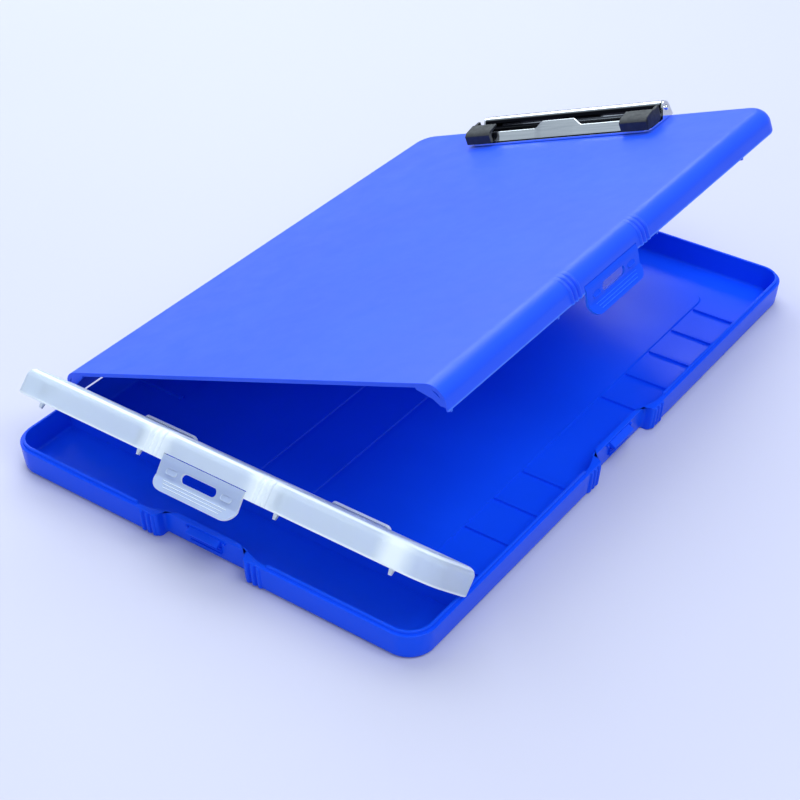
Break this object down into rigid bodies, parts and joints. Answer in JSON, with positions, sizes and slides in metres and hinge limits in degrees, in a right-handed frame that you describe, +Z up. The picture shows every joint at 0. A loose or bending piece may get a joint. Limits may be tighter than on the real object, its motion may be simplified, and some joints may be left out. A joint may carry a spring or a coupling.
{
  "type": "storage clipboard",
  "caption": "Shallow paper tray with a side-hinged lid that carries a sprung paper clip, and a separate see-through pen cover along one end; both shut with folding latch flaps",
  "frame": {"origin": "Centre of the tray's footprint, on its flat underside", "axes": "+X runs from the lid's hinge side to its latch side, +Y from the pen end to the clip end, +Z is up"},
  "size_m": [0.2442, 0.3566, 0.1096],
  "materials": {
    "blue_plastic": "semi-gloss, fine grain",
    "frosted_plastic": "frosted, translucent",
    "clip_chrome": "bright plated",
    "pin_steel": "drawn wire",
    "cap_rubber": "matte"
  },
  "bodies": {
    "tray": {"tray": "blue_plastic", "lid_hinge_pin_1": "pin_steel", "lid_hinge_pin_2": "pin_steel", "pen_cover_hinge_pin_1": "pin_steel", "pen_cover_hinge_pin_2": "pin_steel", "hinge_guard_1": "frosted_plastic", "hinge_guard_2": "frosted_plastic"},
    "lid": {"lid": "blue_plastic", "clip_base_plate": "clip_chrome", "clip_axle": "clip_chrome", "clip_rivet_1": "clip_chrome", "clip_rivet_2": "clip_chrome", "clip_spring_1": "pin_steel", "clip_spring_2": "pin_steel"},
    "lid_flap": {"lid_latch_flap": "blue_plastic"},
    "pen_cover": {"pen_cover": "frosted_plastic"},
    "cover_flap": {"pen_cover_latch_flap": "frosted_plastic"},
    "clip_jaw": {"clip_jaw": "clip_chrome", "clip_corner_cap_1": "cap_rubber", "clip_corner_cap_2": "cap_rubber"}
  },
  "joints": [
    {"name": "lid_hinge", "type": "hinge", "parent": "tray", "child": "lid", "pos_m": [-0.1219, 0, 0.01395], "axis": [0, -1, 0], "range_deg": [-20.85, 144]},
    {"name": "pen_cover_hinge", "type": "hinge", "parent": "tray", "child": "pen_cover", "pos_m": [0, -0.1375, 0.0217], "axis": [-1, 0, 0], "range_deg": [-44.4, 45.6]},
    {"name": "lid_latch", "type": "hinge", "parent": "lid", "child": "lid_flap", "pos_m": [0.10166, -0.0003, 0.10183], "axis": [0, -1, 0], "range_deg": [-12, 85]},
    {"name": "pen_cover_latch", "type": "hinge", "parent": "pen_cover", "child": "cover_flap", "pos_m": [0.0002, -0.16814, 0.04443], "axis": [-1, 0, 0], "range_deg": [-12, 85]},
    {"name": "clip_jaw_hinge", "type": "hinge", "parent": "lid", "child": "clip_jaw", "pos_m": [-0.01469, 0.1655, 0.07495], "axis": [-0.9345, 0, -0.3559], "range_deg": [0, 38], "stiffness_Nm_per_rad": 0.15, "springref_deg": -85.94}
  ]
}
